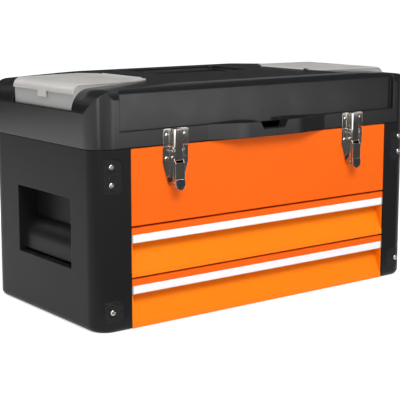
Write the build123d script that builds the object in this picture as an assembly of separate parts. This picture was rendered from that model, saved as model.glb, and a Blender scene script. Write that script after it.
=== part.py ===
from build123d import *
import os
from math import hypot

# Portable tool box with two drawers, a lidded top compartment and two clear organisers in the lid.
# Millimetres. X runs along the front, -Y is the front, +Z is up. The origin is on the ground, at the middle
# of the whole box, from the lift lip at the front to the hinge barrel at the back.

# ---- Overall sizes
cabinet_width = 523.0          # across the two side casings
cabinet_depth = 262.0          # front face to back face
cabinet_height = 222.0         # ground to the lid seam
casing_width = 47.5            # one side casing, along X
lid_height = 73.6              # lid seam to the flat top
lid_overhang = 1.5             # lid past the casings at each end
lid_seam = 0.8                 # gap under the lid
steel = 1.5                    # cabinet sheet
plastic = 3.0                  # moulded walls
thin_plastic = 2.5             # inner moulded walls
corner_radius = 25.0           # upright corners of the casings
casing_foot_radius = 8.0       # rounding under the casings

# ---- Clearances
side_gap = 0.9                 # drawer fronts to the casings
slide_gap = 0.3                # sliding and swinging faces
pin_gap = 0.05                 # pins in their holes, on the radius

# ---- Cabinet
panel_setback = 0.8            # steel fronts behind the casing faces
front_panel_height = 93.5      # fixed panel over the drawers
front_panel_top_gap = 0.5      # panel top below the seam
panel_return = 22.0            # side returns of the fixed panel
panel_hem = 12.0               # top and bottom hems of the fixed panel
back_return = 18.0             # side returns of the back panel
shell_base_gap = 3.0           # shell floor above the ground
flange_setback = 6.5           # screw flanges behind the casing faces
flange_width = 33.0            # screw flanges, along X
flange_end_gap = 8.0           # screw flanges short of top and bottom

# ---- Side casings
recess_length = 130.5          # hand hold, along Y
recess_start = 61.0            # hand hold, from the front face
recess_bottom = 71.5
recess_top = 158.5
recess_depth = 29.0
recess_slot_height = 4.0       # slot under the swelling
recess_slot_depth = 20.0
swelling_depth = 8.0           # swelling behind the casing face
swelling_shoulder = 90.0       # height where the swelling starts to turn in
swelling_top = 115.0
finger_pocket = 5.5            # hand hold reaches up behind its top edge
pad_depth = 0.8                # grained pads round the screws
pad_edge = 11.5                # pad edge from the opening
pad_radius = 8.0
upper_pad_drop = 11.0          # pad below the top of the casing
upper_pad_length = 41.0
lower_pad_bottom = 13.0
lower_pad_top = 40.0
screw_edge = 27.4              # screw centres from the opening
lower_screw_height = 26.4
upper_screw_drops = (41.4, 19.7)   # below the top of the casing
screw_shank_radius = 1.9
screw_head_radius = 3.4
screw_head_height = 2.0
screw_head_dome = 1.2          # rounding of the head's rim
screw_length = 10.0
screw_recess_width = 0.9
screw_recess_length = 4.0
screw_recess_depth = 1.2
boss_wall = 2.6

# ---- Drawers
drawer_count = 2
drawer_gap = 2.4               # between two drawer fronts
drawer_panel_gap = 2.6         # under the fixed panel
drawer_ground_gap = 1.8        # lowest front above the ground
strip_height = 8.4             # steel strip over the handle rail
rail_height = 10.6
rail_thickness = 2.2
rail_bead_radius = 2.0
finger_depth = 15.0            # sloped face behind the front plane, at its top
finger_top = 3.5               # upright part of the sloped face under the rail
lip_height = 6.0               # upright lip at the foot of the front
front_return = 10.0
cap_length = 2.0               # end caps of the handle rail
cap_radius = 1.6
tray_steel = 1.2
tray_floor_gap = 3.0           # tray above the foot of its front
tray_top_gap = 9.5             # tray below the top of its front
tray_back_gap = 24.0           # tray short of the back panel
floor_front_gap = 1.0          # shell floor behind the lowest drawer front

# ---- Drawer runners
runner_space = 12.5            # tray side to cabinet wall
outer_runner_height = 32.0
outer_runner_width = 9.0
inner_runner_height = 20.0
inner_runner_web = 8.0
runner_steel = 1.5
runner_rise = 8.0              # runner above the tray floor
runner_end_gap = 1.0           # channel short of the back panel's returns

# ---- Lid
lid_end_radius = 27.0          # ends, seen from the front
lid_back_radius = 14.0
lid_front_radius = 10.0        # recessed front panel, top edge
post_front_radius = 16.0       # corner posts, top edge
post_width = 34.1              # corner posts, along X
lid_panel_setback = 5.5        # front panel behind the corner posts
ledge_height = 19.7            # ledge under the front panel
ramp_length = 131.0            # sloped end of the top, along X
ramp_drop = 6.4                # top lower at the ends
bulge_reach = 12.0             # lift lip past the front face
bulge_flat = 49.0              # half length of its flat front
bulge_base = 98.0              # half length where it leaves the ledge
bulge_radius = 60.0
notch_top = 26.0               # half length of the notch in the lip, at its top
notch_floor = 18.0
notch_depth = 10.0
grip_pocket_height = 6.2       # hollow under the lift lip

# ---- Organisers in the lid. Lengths along Y are from the front face of the cabinet.
organiser_length = 127.0       # lid's end to the organiser's inner side
organiser_outline = (          # distance in from the lid's end, distance from the front face
    (1.0, 53.0), (72.0, 60.0), (119.0, 70.0), (organiser_length, 80.0),
    (organiser_length, 185.0), (103.0, 209.0), (14.0, 200.0), (1.0, 198.0))
organiser_corner = 4.0
organiser_depth = 30.9         # pocket floor below the lid's top
cover_rise = 0.6               # cover above the lid's top
cover_thickness = 2.2
cover_end_gap = 1.3            # skirt of the cover inside the lid's end
cover_radius = 12.0
cover_gap = 0.5                # cover to the lid round its edge
cover_relief = 2.0             # cover short of its pin past the lugs, to swing clear of the lid
tab_start = 115.0
tab_end = 135.0
tab_drop = 7.4                 # tab below the cover's skirt
tray_wall = 1.8
tray_divider = 1.6
tray_columns = 2
tray_rows = 2
barrel_radius = 2.3            # cover hinge
cover_pin_radius = 1.2
cover_pin_drop = 1.0           # cover pin below the lid's top
cover_pin_inset = 2.2          # cover pin from the organiser's inner side
barrel_start = 86.0
barrel_end = 179.0
lug_length = 5.2

# ---- Carry handle
handle_pivot_x = 69.5
handle_pivot_back = 140.0      # handle lengths along Y, from the front face of the cabinet
handle_pivot_drop = 7.0        # handle pins below the lid's top
handle_arm_width = 10.0
handle_arm_height = 9.0
handle_eye_radius = 5.2
handle_boss_radius = 5.1       # lid bosses beside the eyes
handle_grip_back = 208.0       # middle of the grip
handle_grip_width = 16.0
handle_grip_height = 11.0
handle_grip_radius = 4.0
handle_bend_radius = 14.0
handle_pin_radius = 2.5
handle_pin_length = 16.0
handle_well_depth = 20.0
handle_well_gap = 0.6
handle_well_rear_gap = 3.0
handle_well_radius = 6.0
handle_rest_width = 10.0
handle_rest_length = 10.6

# ---- Lid hinge
hinge_end_gap = 14.0           # hinge short of the casings at each end
hinge_knuckles = 5
hinge_knuckle_gap = 0.4
hinge_radius = 3.0
hinge_pin_radius = 1.5
hinge_leaf = 1.2
hinge_leaf_gap = 0.6           # leaf to the knuckles of the other leaf
hinge_leaf_height = 22.0
hinge_axis_back = 3.2          # hinge pin behind the back face
hinge_axis_drop = 0.4          # hinge pin above the cabinet top

# ---- Latches
latch_inset = 65.0             # latch centres from the casings
latch_width = 38.0
latch_plate = 1.4
latch_base_top_gap = 1.0       # base plate below the seam
latch_base_length = 50.3
latch_base_taper = 20.3        # straight sides end this far below the plate's top
latch_base_tip = 20.0          # width at the foot of the taper
latch_top_radius = 1.5
latch_knee_radius = 6.0
latch_tip_radius = 7.0
keeper_height = 20.0
keeper_corner = 4.0
keeper_foot_radius = 1.0
keeper_rivet_height = 12.0     # above the keeper's foot
keeper_drop = 0.6              # keeper below the foot of the lid
catch_width = 9.0
catch_reach = 4.2              # catch in front of the keeper plate
catch_root = 2.5               # the same at the foot of its slope
catch_height = 6.0
catch_slope = 2.0
catch_start = 9.0              # foot of the catch above the keeper's foot
catch_radius = 1.0
ear_thickness = 1.4
ear_reach = 8.6
ear_drop = 1.0                 # ears start this far below the plate's top
ear_root = 34.0                # ears leave the plate this far below its top
ear_foot = 41.0                # ears end this far below it
ear_top_radius = 3.0
lever_width = 14.0
lever_steel = 1.3
lever_face = 11.4              # lever face in front of the panel
lever_pivot_drop = 6.5         # lever pin below the plate's top
lever_pivot_reach = 5.2        # lever pin in front of the panel
lever_throw = 9.0              # lever pin to hook pin
lever_face_drop = 5.0          # face starts this far below the hook pin
lever_length = 34.5            # lever pin to the bend of the tip
lever_cheek_length = 27.5      # lever pin to the cheeks' rear corner
lever_eye_radius = 3.2
lever_tip_reach = 11.8         # tip in front of the cabinet's front face
lever_tip_length = 13.2
lever_tip_radius = 6.8
latch_pin_radius = 1.5
pin_end = 0.6                  # pin ends outside the ears
hook_neck_width = 10.8         # between the lever's cheeks
hook_width = 13.2              # over its side flanges, above the cheeks
hook_steel = 1.4
hook_eye_radius = 3.2
hook_length = 36.0             # hook pin to the top of the hook
hook_flange_start = 13.2       # flanges start this far above the hook pin
hook_flange_depth = 5.2
hook_flange_radius = 1.5
staple_drop = 38.5             # padlock staple below the plate's top
staple_reach = 7.2
staple_height = 8.0
staple_hole_radius = 2.2
staple_radius = 3.0
rivet_side = 13.3              # rivets from the latch centre
rivet_radius = 1.6
rivet_head_radius = 2.6
rivet_head_height = 1.0
rivet_head_dome = 0.7          # rounding of the head's rim
base_rivet_drop = 15.5         # base rivets below the plate's top
foot_rivet_drop = 46.6

# ---- Places worked out from the sizes
hinge_reach = hinge_axis_back + hinge_radius
front_y = bulge_reach - (bulge_reach + cabinet_depth + hinge_reach) / 2
back_y = front_y + cabinet_depth
half_width = cabinet_width / 2
half_opening = half_width - casing_width
half_lid = half_width + lid_overhang
wall_outside = half_opening + steel
panel_y = front_y + panel_setback
panel_top = cabinet_height - front_panel_top_gap
panel_bottom = panel_top - front_panel_height
floor_top = panel_bottom + 2 * steel
lid_bottom = cabinet_height + lid_seam
lid_top = lid_bottom + lid_height
ledge_top = lid_bottom + ledge_height
post_inside = half_lid - post_width
lid_panel_y = front_y + lid_panel_setback
fronts_top = panel_bottom - drawer_panel_gap
front_height = (fronts_top - drawer_ground_gap - (drawer_count - 1) * drawer_gap) / drawer_count
half_front = half_opening - side_gap
tray_half = half_opening - runner_space
tray_front_y = panel_y + finger_depth + steel
tray_back_y = back_y - steel - tray_back_gap
runner_back_y = back_y - steel - back_return - runner_end_gap
plate_top = cabinet_height - latch_base_top_gap
plate_front_y = panel_y - latch_plate
lever_pin_y = panel_y - lever_pivot_reach
lever_pin_z = plate_top - lever_pivot_drop
hook_pin_z = lever_pin_z - lever_throw
keeper_foot = lid_bottom - keeper_drop
keeper_rivet_z = keeper_foot + keeper_rivet_height
hinge_y = back_y + hinge_axis_back
hinge_z = cabinet_height + hinge_axis_drop
upper_pad_top = cabinet_height - upper_pad_drop
upper_pad_bottom = upper_pad_top - upper_pad_length
screw_heights = (lower_screw_height, *(cabinet_height - drop for drop in upper_screw_drops))
hinge_length = 2 * (half_opening - hinge_end_gap)
latch_x = half_opening - latch_inset
ramp_start = half_lid - ramp_length
organiser_inside = half_lid - organiser_length
organiser_floor = lid_top - organiser_depth
cover_top = lid_top + cover_rise
cover_side = half_lid - cover_end_gap
cover_pin_z = lid_top - cover_pin_drop
cover_pin_x = organiser_inside + cover_pin_inset
tab_bottom = cover_top - cover_radius - tab_drop
handle_pivot_y = front_y + handle_pivot_back
handle_pivot_z = lid_top - handle_pivot_drop
handle_grip_y = front_y + handle_grip_back
past = 5.0                     # cutting tools run this far past a face


# ---- Helpers
def block(x0, x1, y0, y1, z0, z1):
    """Box between two corners."""
    box = Box(abs(x1 - x0), abs(y1 - y0), abs(z1 - z0))
    return Pos((x0 + x1) / 2, (y0 + y1) / 2, (z0 + z1) / 2) * box


def outline(points, radii=0.0):
    """Closed face through flat points, each corner rounded by its radius."""
    face = make_face(Polyline(*points, close=True))
    if not isinstance(radii, (list, tuple)):
        radii = [radii] * len(points)
    for point, radius in zip(points, radii):
        if radius > 0:
            corner = min(face.vertices(), key=lambda v: hypot(v.X - point[0], v.Y - point[1]))
            face = fillet(corner, radius)
    return face


def prism_x(face, x0, x1):
    """Face drawn in (y, z), carried from x0 to x1."""
    return Pos(x0, 0, 0) * extrude(Plane.YZ * face, amount=x1 - x0)


def prism_y(face, y0, y1):
    """Face drawn in (x, z), carried from y0 to y1."""
    return Pos(0, y1, 0) * extrude(Plane.XZ * face, amount=y1 - y0)


def prism_z(face, z0, z1):
    """Face drawn in (x, y), carried from z0 to z1."""
    return Pos(0, 0, z0) * extrude(face, amount=z1 - z0)


def rod(start, end, radius):
    """Round bar between two points."""
    path = Vector(*end) - Vector(*start)
    return extrude(Plane(origin=start, z_dir=path) * Circle(radius), amount=path.length)


def rod_x(x0, x1, y, z, radius):
    return rod((min(x0, x1), y, z), (max(x0, x1), y, z), radius)


def mirrored(solid):
    """The same piece on the other side of the box."""
    return mirror(solid, about=Plane.YZ)


parts = {}


def save(name, shape):
    parts[name] = shape


def save_pair(name, left):
    """A left piece and its mirrored right one."""
    save(name + "_left", left)
    save(name + "_right", mirrored(left))


# ---- Cabinet
def cabinet_shell():
    """Floor and side walls folded from one sheet, with flanges that the casings screw to."""
    shell = block(-wall_outside, wall_outside, panel_y + front_return + floor_front_gap,
                  back_y - flange_setback, shell_base_gap, shell_base_gap + steel)
    for side in (-1, 1):
        shell += block(side * half_opening, side * wall_outside, front_y + flange_setback,
                       back_y - flange_setback, shell_base_gap, cabinet_height - plastic)
        for face_y in (front_y + flange_setback, back_y - flange_setback - steel):
            shell += block(side * half_opening, side * (half_opening + flange_width), face_y, face_y + steel,
                           flange_end_gap, cabinet_height - flange_end_gap)
        for height in screw_heights:
            x = side * (half_opening + screw_edge)
            shell -= rod((x, front_y - past, height), (x, back_y + past, height),
                         screw_shank_radius + pin_gap)
    return shell


def back_panel():
    """Rear sheet with side returns against the shell walls."""
    inner = back_y - steel
    sheet = block(-half_opening, half_opening, inner, back_y, shell_base_gap + steel, panel_top)
    for side in (-1, 1):
        sheet += block(side * (half_opening - steel), side * half_opening, inner - back_return, inner,
                       shell_base_gap + steel, panel_top)
    return sheet


def front_panel():
    """Fixed panel over the drawers, with hems and side returns."""
    rear = panel_y + steel
    half = half_opening - steel
    panel = block(-half_front, half_front, panel_y, rear, panel_bottom, panel_top)
    panel += block(-half, half, rear, rear + panel_hem, panel_bottom, panel_bottom + steel)
    panel += block(-half, half, rear, rear + panel_hem, panel_top - steel, panel_top)
    for side in (-1, 1):
        panel += block(side * half, side * half_opening, rear - steel / 2, rear + panel_return,
                       panel_bottom, panel_top)
        for x, z in latch_rivets():
            panel -= rod((side * latch_x + x, panel_y - past, z), (side * latch_x + x, rear + past, z),
                         rivet_radius)
    return panel


def compartment_floor():
    """Sheet between the drawers and the top compartment, seated on the lower hem of the front panel."""
    half = half_opening - steel
    return block(-half, half, panel_y + steel, back_y - steel, panel_bottom + steel, floor_top)


def casing_plan(offset, radius):
    """Left casing seen from above, drawn in by an offset at its outer sides."""
    x0 = -half_width + offset
    points = [(x0, front_y + offset), (-half_opening, front_y + offset),
              (-half_opening, back_y - offset), (x0, back_y - offset)]
    return outline(points, [radius, 0, 0, radius])


def hand_hold_face():
    """Upright section of the hand hold, as distance in from the casing face and height."""
    outer = -half_width - past
    wall = -half_width + plastic
    swelling = -half_width + swelling_depth
    slot = -half_width + recess_slot_depth
    back = -half_width + recess_depth
    slot_top = recess_bottom + recess_slot_height
    pocket_top = recess_top + finger_pocket
    lower = Polyline((outer, recess_bottom), (slot, recess_bottom), (slot, slot_top), (swelling, slot_top),
                     (swelling, swelling_shoulder))
    roll = EllipticalCenterArc((back, swelling_shoulder), back - swelling, swelling_top - swelling_shoulder,
                               start_angle=90, arc_size=90)
    upper = Polyline((back, swelling_top), (back, pocket_top), (wall + finger_pocket, pocket_top),
                     (wall, recess_top), (outer, recess_top), (outer, recess_bottom))
    return make_face([lower, roll, upper])


def side_casing():
    """Left moulded casing: hollow, open towards the steel wall, with its hand hold."""
    casing = prism_z(casing_plan(0, corner_radius), 0, cabinet_height)
    rim = casing.faces().sort_by(Axis.Z)[0].edges()
    casing = fillet(rim.filter_by(lambda e: e.center().X < -half_opening - plastic), casing_foot_radius)
    casing -= prism_z(casing_plan(plastic, corner_radius - plastic), plastic, cabinet_height - plastic)
    for face_y, away in ((front_y, 1), (back_y, -1)):
        casing += block(-half_opening - plastic, -half_opening, face_y, face_y + away * flange_setback,
                        plastic, cabinet_height - plastic)
        for height in screw_heights:
            x = -half_opening - screw_edge
            casing += rod((x, face_y + away * plastic, height), (x, face_y + away * flange_setback, height),
                          screw_shank_radius + boss_wall)
    recess_y = front_y + recess_start
    casing += block(-half_width + plastic / 2, -half_width + recess_depth + thin_plastic,
                    recess_y - thin_plastic, recess_y + recess_length + thin_plastic,
                    recess_bottom - thin_plastic, recess_top + finger_pocket + thin_plastic)
    casing -= prism_y(hand_hold_face(), recess_y, recess_y + recess_length)
    for low, high in ((upper_pad_bottom, upper_pad_top), (lower_pad_bottom, lower_pad_top)):
        pad = outline([(-half_width - past, low), (-half_opening - pad_edge, low),
                       (-half_opening - pad_edge, high), (-half_width - past, high)],
                      [0, pad_radius, pad_radius, 0])
        casing -= prism_y(pad, front_y - past, front_y + pad_depth)
    for face_y, away in ((front_y, 1), (back_y, -1)):
        for height in screw_heights:
            x = -half_opening - screw_edge
            inner_y = face_y + away * (flange_setback + past)
            casing -= rod((x, face_y - away * past, height), (x, inner_y, height),
                          screw_shank_radius + pin_gap)
    return casing


def screw(x, face_y, away, height):
    """Cross-head screw driven along Y, its head on face_y."""
    head = rod((x, face_y, height), (x, face_y - away * screw_head_height, height), screw_head_radius)
    rim = head.edges().filter_by(lambda e: abs(e.center().Y - face_y) > screw_head_height / 2)
    head = fillet(rim, screw_head_dome)
    body = head + rod((x, face_y, height), (x, face_y + away * screw_length, height), screw_shank_radius)
    top = face_y - away * screw_head_height
    low, high = sorted((top - away * past, top + away * screw_recess_depth))
    half = screw_recess_length / 2
    width = screw_recess_width / 2
    body -= block(x - half, x + half, low, high, height - width, height + width)
    body -= block(x - width, x + width, low, high, height - half, height + half)
    return body


def casing_screws():
    solids = []
    for side in (-1, 1):
        for height in screw_heights:
            x = side * (half_opening + screw_edge)
            solids.append(screw(x, front_y + pad_depth, 1, height))
            solids.append(screw(x, back_y, -1, height))
    return Compound(solids)


# ---- Drawers
def drawer_base(level):
    """Height of the foot of one drawer front, the lowest drawer being level 0."""
    return drawer_ground_gap + level * (front_height + drawer_gap)


def drawer_front(base):
    """Steel front: top strip, shelf over the rail, sloped face, foot lip, hems and end cheeks."""
    top = base + front_height
    shelf = top - strip_height
    inner = panel_y + finger_depth
    slope_top = shelf - rail_height - finger_top
    lip = base + lip_height
    cheek_y = panel_y + 2 * rail_bead_radius + slide_gap
    t = steel
    sheet = outline([(panel_y, top), (panel_y, shelf), (inner, shelf), (inner, slope_top),
                     (panel_y, lip), (panel_y, base), (panel_y + front_return, base),
                     (panel_y + front_return, base + t), (panel_y + t, base + t), (panel_y + t, lip - t / 2),
                     (inner + t, slope_top - t / 2), (inner + t, shelf + t), (panel_y + t, shelf + t),
                     (panel_y + t, top - t), (inner + t, top - t), (inner + t, top)])
    front = prism_x(sheet, -half_front, half_front)
    cheek_top = shelf - rail_height - slide_gap
    cheek = outline([(panel_y + t / 2, lip), (panel_y + t / 2, cheek_top), (cheek_y, cheek_top),
                     (cheek_y, shelf + t / 2), (inner + t / 2, shelf + t / 2), (inner + t / 2, slope_top)])
    for side in (-1, 1):
        front += prism_x(cheek, *sorted((side * half_front, side * (half_front - t))))
    return front


def handle_rail(base):
    """Full-width pull: a front strip with a rolled lower edge and a leg under the shelf."""
    shelf = base + front_height - strip_height
    half = half_front - cap_length
    y1 = panel_y + rail_thickness
    rail = block(-half, half, panel_y, y1, shelf - rail_height + rail_bead_radius, shelf)
    rail += rod_x(-half, half, panel_y + rail_bead_radius, shelf - rail_height + rail_bead_radius,
                  rail_bead_radius)
    rail += block(-half, half, y1, panel_y + finger_depth, shelf - rail_thickness, shelf)
    return rail


def rail_caps(base):
    """Plugs on both ends of the pull."""
    shelf = base + front_height - strip_height
    caps = []
    for side in (-1, 1):
        x0, x1 = sorted((side * half_front, side * (half_front - cap_length)))
        cap = block(x0, x1, panel_y, panel_y + 2 * rail_bead_radius, shelf - rail_height, shelf)
        outer = cap.edges().filter_by(Axis.X).sort_by(Axis.Z)[:2]
        caps.append(fillet(outer, cap_radius))
    return Compound(caps)


def drawer_tray(base):
    """Open steel tray behind the front."""
    z0 = base + tray_floor_gap
    z1 = base + front_height - tray_top_gap
    t = tray_steel
    tray = block(-tray_half, tray_half, tray_front_y, tray_back_y, z0, z1)
    tray -= block(-tray_half + t, tray_half - t, tray_front_y + t, tray_back_y - t, z0 + t, z1 + past)
    return tray


def runner_height(base):
    """Middle height of one drawer's runners."""
    return base + tray_floor_gap + runner_rise + outer_runner_height / 2


def outer_runner(base):
    """Left channel on the cabinet wall, open towards the drawer."""
    middle = runner_height(base)
    half = outer_runner_height / 2
    t = runner_steel
    x0 = -half_opening
    x1 = x0 + outer_runner_width
    y0 = tray_front_y + steel
    y1 = runner_back_y
    channel = block(x0, x1, y0, y1, middle - half, middle + half)
    channel -= block(x0 + t, x1 + past, y0 - past, y1 - t, middle - half + t, middle + half - t)
    lip = inner_runner_height / 2 + slide_gap
    for side in (-1, 1):
        z0, z1 = sorted((middle + side * half, middle + side * lip))
        channel += block(x1 - t, x1, y0, y1, z0, z1)
    return channel


def inner_runner(base):
    """Left slide on the tray side, carried between the lips of its channel."""
    middle = runner_height(base)
    half = inner_runner_height / 2
    t = runner_steel
    x1 = -tray_half
    web_x = x1 - inner_runner_web
    flange = outer_runner_height / 2 - t - slide_gap
    slide = block(web_x, x1, tray_front_y, tray_back_y, middle - half, middle + half)
    slide += block(web_x, web_x + t, tray_front_y + steel, tray_back_y, middle - flange, middle + flange)
    slide -= block(web_x + t, x1 - t, tray_front_y - past, tray_back_y + past,
                   middle - half + t, middle + half - t)
    return slide


# ---- Lid
def lid_plan(offset, radius):
    """Lid seen from above, drawn in by an offset."""
    x = half_lid - offset
    points = [(-x, front_y + offset), (x, front_y + offset), (x, back_y - offset), (-x, back_y - offset)]
    return outline(points, radius)


def lid_end_view(drop):
    """Lid seen from the front, with its flat middle and its ramps, lowered by a wall."""
    x = half_lid - drop
    points = [(-x, lid_bottom - past), (-x, lid_top - ramp_drop - drop), (-ramp_start, lid_top - drop),
              (ramp_start, lid_top - drop), (x, lid_top - ramp_drop - drop), (x, lid_bottom - past)]
    radius = lid_end_radius - drop
    return outline(points, [0, radius, bulge_radius, bulge_radius, radius, 0])


def lid_side_view(face_y, front_radius, drop):
    """Lid seen from its end, as (y, z), with its front face on face_y."""
    points = [(face_y, lid_bottom - past), (face_y, lid_top - drop), (back_y - drop, lid_top - drop),
              (back_y - drop, lid_bottom - past)]
    return outline(points, [0, front_radius, lid_back_radius - drop, 0])


def lid_form(offset):
    """Closed form of the lid, drawn in by a wall on all sides but its foot."""
    foot = lid_bottom if offset == 0 else lid_bottom - past
    plan = prism_z(lid_plan(offset, corner_radius + lid_overhang - offset), foot, lid_top)
    ends = prism_y(lid_end_view(offset), front_y - past, back_y + past)
    inside = post_inside + offset
    middle = prism_x(lid_side_view(lid_panel_y + offset, lid_front_radius - offset, offset), -inside, inside)
    posts = prism_x(lid_side_view(front_y + offset, post_front_radius - offset, offset), -half_lid, -inside)
    posts += mirrored(posts)
    ledge = block(-inside, inside, front_y + offset, lid_panel_y + past + offset,
                  lid_bottom - past, ledge_top - offset)
    return plan & ends & (middle + posts + ledge)


def lift_lip():
    """Swelling of the ledge at the front, with a notch in its top."""
    lip_y = front_y - bulge_reach
    points = [(-bulge_base, front_y), (-bulge_flat, lip_y), (bulge_flat, lip_y), (bulge_base, front_y),
              (bulge_base, front_y + plastic), (-bulge_base, front_y + plastic)]
    return prism_z(outline(points, [0, bulge_radius, bulge_radius, 0, 0, 0]), lid_bottom, ledge_top)


def lip_cuts():
    """Notch in the top of the lift lip and the hollow under it."""
    notch = outline([(-notch_floor, ledge_top - notch_depth), (notch_floor, ledge_top - notch_depth),
                     (notch_top, ledge_top + past), (-notch_top, ledge_top + past)])
    cuts = prism_y(notch, front_y - bulge_reach - past, lid_panel_y)
    rear = (bulge_base + bulge_flat) / 2
    lip_y = front_y - bulge_reach + plastic
    hollow = outline([(-rear, front_y + plastic), (-bulge_flat, lip_y), (bulge_flat, lip_y),
                      (rear, front_y + plastic)])
    return cuts + prism_z(hollow, lid_bottom - past, lid_bottom + grip_pocket_height)


def organiser_plan(offset):
    """Left organiser seen from above, grown by an offset."""
    points = [(inset - half_lid, front_y + back) for inset, back in organiser_outline]
    face = outline(points, [0] + [organiser_corner] * (len(points) - 2) + [0])
    if offset == 0:
        return face
    return offset_2d(face, offset)


def offset_2d(face, amount):
    return offset(face, amount=amount, kind=Kind.INTERSECTION)


def pocket_form(grow, floor):
    """Left organiser pocket, carried out past the lid's end."""
    points = [(inset - half_lid, front_y + back) for inset, back in organiser_outline]
    points[0] = (-half_lid - past, points[0][1])
    points[-1] = (-half_lid - past, points[-1][1])
    return prism_z(offset_2d(outline(points), grow), floor, lid_top + past)


def cover_section(inset):
    """Cover seen from the front: flat, then rounded down over the side; drawn in by an inset."""
    side = -cover_side + inset
    top = cover_top - inset
    points = [(0, 0), (0, top), (side, top), (side, 0)]
    return outline(points, [0, 0, cover_radius - inset, 0])


def handle_well(grow):
    """Well for the folded handle, grown by a wall."""
    half = handle_pivot_x + handle_arm_width / 2 + handle_well_gap + grow
    y0 = handle_pivot_y - handle_eye_radius - handle_well_gap - grow
    y1 = handle_grip_y + handle_grip_width / 2 + handle_well_rear_gap + grow
    radius = handle_well_radius + grow
    plan = outline([(-half, y0), (half, y0), (half, y1), (-half, y1)], [grow, grow, radius, radius])
    return prism_z(plan, lid_top - handle_well_depth - grow, lid_top + past)


def cover_lug(y0, y1):
    """Ear that holds one end of the left cover's pin."""
    lug = rod((-cover_pin_x, y0, cover_pin_z), (-cover_pin_x, y1, cover_pin_z),
              barrel_radius)
    inner = organiser_inside - cover_gap
    lug += block(-cover_pin_x, -inner + plastic, y0, y1, cover_pin_z - barrel_radius, lid_top)
    return lug


def lug_spans():
    """Both ends of the cover hinge, as spans along Y."""
    start = front_y + barrel_start - slide_gap
    end = front_y + barrel_end + slide_gap
    return ((start - lug_length, start), (end, end + lug_length))


def lid_shell():
    outer = lid_form(0) + lift_lip()
    shell = outer - lid_form(plastic)
    pocket = pocket_form(cover_gap + thin_plastic, organiser_floor - thin_plastic)
    shell += (pocket + mirrored(pocket)) & lid_form(0)
    shell += handle_well(thin_plastic) & lid_form(0)
    boss = rod_x(-handle_pivot_x - handle_arm_width / 2 - handle_well_gap - thin_plastic,
                 -handle_pivot_x - handle_pin_length / 2 - thin_plastic, handle_pivot_y, handle_pivot_z,
                 handle_boss_radius)
    shell += boss + mirrored(boss)
    pocket = pocket_form(cover_gap, organiser_floor)
    shell -= pocket + mirrored(pocket)
    shell -= handle_well(0)
    shell -= lip_cuts()
    rest_x = -handle_pivot_x + handle_bend_radius
    rest = block(rest_x, rest_x + handle_rest_width,
                 handle_grip_y - handle_rest_length / 2, handle_grip_y + handle_rest_length / 2,
                 lid_top - handle_well_depth, handle_pivot_z - handle_grip_height / 2 - slide_gap)
    shell += rest + mirrored(rest)
    for y0, y1 in lug_spans():
        lug = cover_lug(y0, y1)
        shell += lug + mirrored(lug)
    pin = cover_pin()
    shell -= pin + mirrored(pin)
    pivot = handle_pin()
    shell -= pivot + mirrored(pivot)
    inner_y = front_y + plastic + past
    for side in (-1, 1):
        for x in (side * latch_x - rivet_side, side * latch_x + rivet_side):
            shell -= rod((x, front_y - past, keeper_rivet_z), (x, inner_y, keeper_rivet_z), rivet_radius)
    return shell


def cover_pin():
    """Pin of the left organiser cover."""
    (start, _), (_, end) = lug_spans()
    return rod((-cover_pin_x, start, cover_pin_z), (-cover_pin_x, end, cover_pin_z),
               cover_pin_radius)


def organiser_tray():
    """Left bin with its dividers."""
    wall = tray_wall
    outer = prism_z(offset_2d(organiser_plan(0), -slide_gap), organiser_floor, cover_top)
    outer &= prism_y(cover_section(cover_thickness + slide_gap), front_y, back_y)
    inner = prism_z(offset_2d(organiser_plan(0), -slide_gap - wall), organiser_floor + wall, cover_top)
    inner &= prism_y(cover_section(cover_thickness + slide_gap + wall), front_y, back_y)
    top = block(-cover_side + cover_radius, 0, front_y, back_y, organiser_floor + 2 * wall, cover_top + past)
    top &= prism_z(offset_2d(organiser_plan(0), -slide_gap - wall), organiser_floor + wall, cover_top + past)
    tray = outer - inner - top
    x0, x1 = -cover_side + cover_thickness + slide_gap, -organiser_inside
    y0, y1 = front_y + organiser_outline[0][1], front_y + organiser_outline[5][1]
    ribs = []
    for column in range(1, tray_columns):
        x = x0 + (x1 - x0) * column / tray_columns
        ribs.append(block(x - tray_divider / 2, x + tray_divider / 2, y0, y1, organiser_floor, cover_top))
    for row in range(1, tray_rows):
        y = y0 + (y1 - y0) * row / tray_rows
        ribs.append(block(x0, x1, y - tray_divider / 2, y + tray_divider / 2, organiser_floor, cover_top))
    for rib in ribs:
        tray += rib & outer
    hinge_room = barrel_radius + slide_gap
    spans = lug_spans()
    tray -= block(-cover_pin_x - hinge_room, 0, spans[0][0] - slide_gap, spans[1][1] + slide_gap,
                  cover_pin_z - hinge_room, cover_top)
    return tray


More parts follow.
